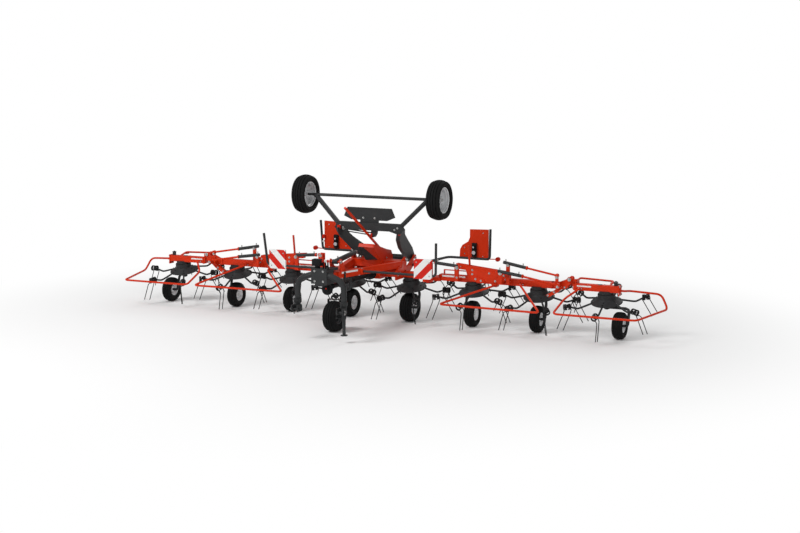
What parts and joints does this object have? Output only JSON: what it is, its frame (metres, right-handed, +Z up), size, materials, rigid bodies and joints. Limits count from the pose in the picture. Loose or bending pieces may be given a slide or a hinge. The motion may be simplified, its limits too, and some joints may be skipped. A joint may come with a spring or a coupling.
{
  "type": "trailed hay tedder",
  "caption": "Trailed folding hay tedder: tined rotors under a jointed beam, headstock with jack, small working wheels and an overhead transport chassis.",
  "frame": {"origin": "on the ground at the middle of the machine's box", "axes": "+X towards the right wing, -Y towards the headstock at the front, +Z up"},
  "size_m": [9.2788, 3.09, 2.3015],
  "materials": {
    "red_paint": "gloss orange-red paint",
    "dark_paint": "satin charcoal paint",
    "rim_paint": "silver paint",
    "tyre": "matt black rubber",
    "board_film": "white film with red stripes",
    "guard_plastic": "matt black"
  },
  "bodies": {
    "root": {"centre_beam": "red_paint", "drawbar": "red_paint", "chassis_bracket": "red_paint", "pto_shaft": "guard_plastic", "support_wheel_bar": "dark_paint", "chassis_cylinder": "dark_paint", "board_front_left": "board_film", "board_front_right": "board_film", "board_rear_left": "red_paint", "board_rear_right": "red_paint", "leg_left_1": "dark_paint", "leg_right_1": "dark_paint"},
    "chassis": {"chassis_frame": "dark_paint", "sign_panel": "dark_paint"},
    "headstock": {"headstock_frame": "dark_paint"},
    "jack": {"jack_leg": "dark_paint"},
    "wing_left": {"wing_beam_left": "red_paint", "guard_inner_left": "red_paint", "leg_left_2": "dark_paint", "leg_left_3": "dark_paint"},
    "outer_left": {"outer_beam_left": "red_paint", "guard_outer_left": "red_paint", "leg_left_4": "dark_paint"},
    "wing_right": {"wing_beam_right": "red_paint", "guard_inner_right": "red_paint", "leg_right_2": "dark_paint", "leg_right_3": "dark_paint"},
    "outer_right": {"outer_beam_right": "red_paint", "guard_outer_right": "red_paint", "leg_right_4": "dark_paint"},
    "rotor_left_1": {"rotor_left_1": "dark_paint"},
    "wheel_left_1": {"tyre_left_1": "tyre", "rim_left_1": "rim_paint"},
    "rotor_left_2": {"rotor_left_2": "dark_paint"},
    "wheel_left_2": {"tyre_left_2": "tyre", "rim_left_2": "rim_paint"},
    "rotor_left_3": {"rotor_left_3": "dark_paint"},
    "wheel_left_3": {"tyre_left_3": "tyre", "rim_left_3": "rim_paint"},
    "rotor_left_4": {"rotor_left_4": "dark_paint"},
    "wheel_left_4": {"tyre_left_4": "tyre", "rim_left_4": "rim_paint"},
    "rotor_right_1": {"rotor_right_1": "dark_paint"},
    "wheel_right_1": {"tyre_right_1": "tyre", "rim_right_1": "rim_paint"},
    "rotor_right_2": {"rotor_right_2": "dark_paint"},
    "wheel_right_2": {"tyre_right_2": "tyre", "rim_right_2": "rim_paint"},
    "rotor_right_3": {"rotor_right_3": "dark_paint"},
    "wheel_right_3": {"tyre_right_3": "tyre", "rim_right_3": "rim_paint"},
    "rotor_right_4": {"rotor_right_4": "dark_paint"},
    "wheel_right_4": {"tyre_right_4": "tyre", "rim_right_4": "rim_paint"},
    "wheel_support": {"tyre_support": "tyre", "rim_support": "rim_paint"},
    "wheel_transport_left": {"tyre_transport_left": "tyre", "rim_transport_left": "rim_paint"},
    "wheel_transport_right": {"tyre_transport_right": "tyre", "rim_transport_right": "rim_paint"}
  },
  "joints": [
    {"name": "chassis_swing", "type": "hinge", "parent": "root", "child": "chassis", "pos_m": [0, 0.985, 0.96], "axis": [-1, 0, 0], "range_deg": [0, 160]},
    {"name": "headstock_swivel", "type": "hinge", "parent": "root", "child": "headstock", "pos_m": [0, -1.035, 0.92], "axis": [0, 0, 1], "range_deg": [-30, 30]},
    {"name": "jack_slide", "type": "slide", "parent": "headstock", "child": "jack", "axis": [0, 0, 1], "range_m": [-0.11, 0.2]},
    {"name": "wing_left_fold", "type": "hinge", "parent": "root", "child": "wing_left", "pos_m": [-0.95, 0.585, 0.72], "axis": [0, 1, 0], "range_deg": [0, 86.4]},
    {"name": "outer_left_fold", "type": "hinge", "parent": "wing_left", "child": "outer_left", "pos_m": [-3.2, 0.585, 0.86], "axis": [0, 1, 0], "range_deg": [0, 180]},
    {"name": "wing_right_fold", "type": "hinge", "parent": "root", "child": "wing_right", "pos_m": [0.95, 0.585, 0.72], "axis": [0, -1, 0], "range_deg": [0, 86.4]},
    {"name": "outer_right_fold", "type": "hinge", "parent": "wing_right", "child": "outer_right", "pos_m": [3.2, 0.585, 0.86], "axis": [0, -1, 0], "range_deg": [0, 180]},
    {"name": "rotor_left_1_spin", "type": "hinge", "parent": "root", "child": "rotor_left_1", "pos_m": [-0.535, 0.635, 0.575], "axis": [0, -0.225, 0.9744], "continuous": true},
    {"name": "wheel_left_1_spin", "type": "hinge", "parent": "root", "child": "wheel_left_1", "pos_m": [-0.535, 0.585, 0.2285], "axis": [1, 0, 0], "continuous": true},
    {"name": "rotor_left_2_spin", "type": "hinge", "parent": "wing_left", "child": "rotor_left_2", "pos_m": [-1.605, 0.635, 0.575], "axis": [0, -0.225, 0.9744], "continuous": true},
    {"name": "wheel_left_2_spin", "type": "hinge", "parent": "wing_left", "child": "wheel_left_2", "pos_m": [-1.605, 0.585, 0.205], "axis": [1, 0, 0], "continuous": true},
    {"name": "rotor_left_3_spin", "type": "hinge", "parent": "wing_left", "child": "rotor_left_3", "pos_m": [-2.675, 0.635, 0.575], "axis": [0, -0.225, 0.9744], "continuous": true},
    {"name": "wheel_left_3_spin", "type": "hinge", "parent": "wing_left", "child": "wheel_left_3", "pos_m": [-2.675, 0.585, 0.205], "axis": [1, 0, 0], "continuous": true},
    {"name": "rotor_left_4_spin", "type": "hinge", "parent": "outer_left", "child": "rotor_left_4", "pos_m": [-3.745, 0.635, 0.575], "axis": [0, -0.225, 0.9744], "continuous": true},
    {"name": "wheel_left_4_spin", "type": "hinge", "parent": "outer_left", "child": "wheel_left_4", "pos_m": [-3.973, 0.585, 0.205], "axis": [1, 0, 0], "continuous": true},
    {"name": "rotor_right_1_spin", "type": "hinge", "parent": "root", "child": "rotor_right_1", "pos_m": [0.535, 0.635, 0.575], "axis": [0, -0.225, 0.9744], "continuous": true},
    {"name": "wheel_right_1_spin", "type": "hinge", "parent": "root", "child": "wheel_right_1", "pos_m": [0.535, 0.585, 0.2285], "axis": [1, 0, 0], "continuous": true},
    {"name": "rotor_right_2_spin", "type": "hinge", "parent": "wing_right", "child": "rotor_right_2", "pos_m": [1.605, 0.635, 0.575], "axis": [0, -0.225, 0.9744], "continuous": true},
    {"name": "wheel_right_2_spin", "type": "hinge", "parent": "wing_right", "child": "wheel_right_2", "pos_m": [1.605, 0.585, 0.205], "axis": [1, 0, 0], "continuous": true},
    {"name": "rotor_right_3_spin", "type": "hinge", "parent": "wing_right", "child": "rotor_right_3", "pos_m": [2.675, 0.635, 0.575], "axis": [0, -0.225, 0.9744], "continuous": true},
    {"name": "wheel_right_3_spin", "type": "hinge", "parent": "wing_right", "child": "wheel_right_3", "pos_m": [2.675, 0.585, 0.205], "axis": [1, 0, 0], "continuous": true},
    {"name": "rotor_right_4_spin", "type": "hinge", "parent": "outer_right", "child": "rotor_right_4", "pos_m": [3.745, 0.635, 0.575], "axis": [0, -0.225, 0.9744], "continuous": true},
    {"name": "wheel_right_4_spin", "type": "hinge", "parent": "outer_right", "child": "wheel_right_4", "pos_m": [3.973, 0.585, 0.205], "axis": [1, 0, 0], "continuous": true},
    {"name": "wheel_support_spin", "type": "hinge", "parent": "root", "child": "wheel_support", "pos_m": [-0.166, -0.668, 0.235], "axis": [1, 0, 0], "continuous": true},
    {"name": "wheel_transport_left_spin", "type": "hinge", "parent": "chassis", "child": "wheel_transport_left", "pos_m": [-1.165, 0.282, 1.99], "axis": [1, 0, 0], "continuous": true},
    {"name": "wheel_transport_right_spin", "type": "hinge", "parent": "chassis", "child": "wheel_transport_right", "pos_m": [1.165, 0.282, 1.99], "axis": [1, 0, 0], "continuous": true}
  ],
  "couplings": [
    {"joint": "wing_left_fold", "follows": "chassis_swing", "ratio": 0.54},
    {"joint": "wing_right_fold", "follows": "chassis_swing", "ratio": 0.54},
    {"joint": "rotor_left_2_spin", "follows": "rotor_left_1_spin", "ratio": -1},
    {"joint": "rotor_left_3_spin", "follows": "rotor_left_1_spin", "ratio": 1},
    {"joint": "rotor_left_4_spin", "follows": "rotor_left_1_spin", "ratio": -1},
    {"joint": "rotor_right_1_spin", "follows": "rotor_left_1_spin", "ratio": -1},
    {"joint": "rotor_right_2_spin", "follows": "rotor_left_1_spin", "ratio": 1},
    {"joint": "rotor_right_3_spin", "follows": "rotor_left_1_spin", "ratio": -1},
    {"joint": "rotor_right_4_spin", "follows": "rotor_left_1_spin", "ratio": 1}
  ]
}
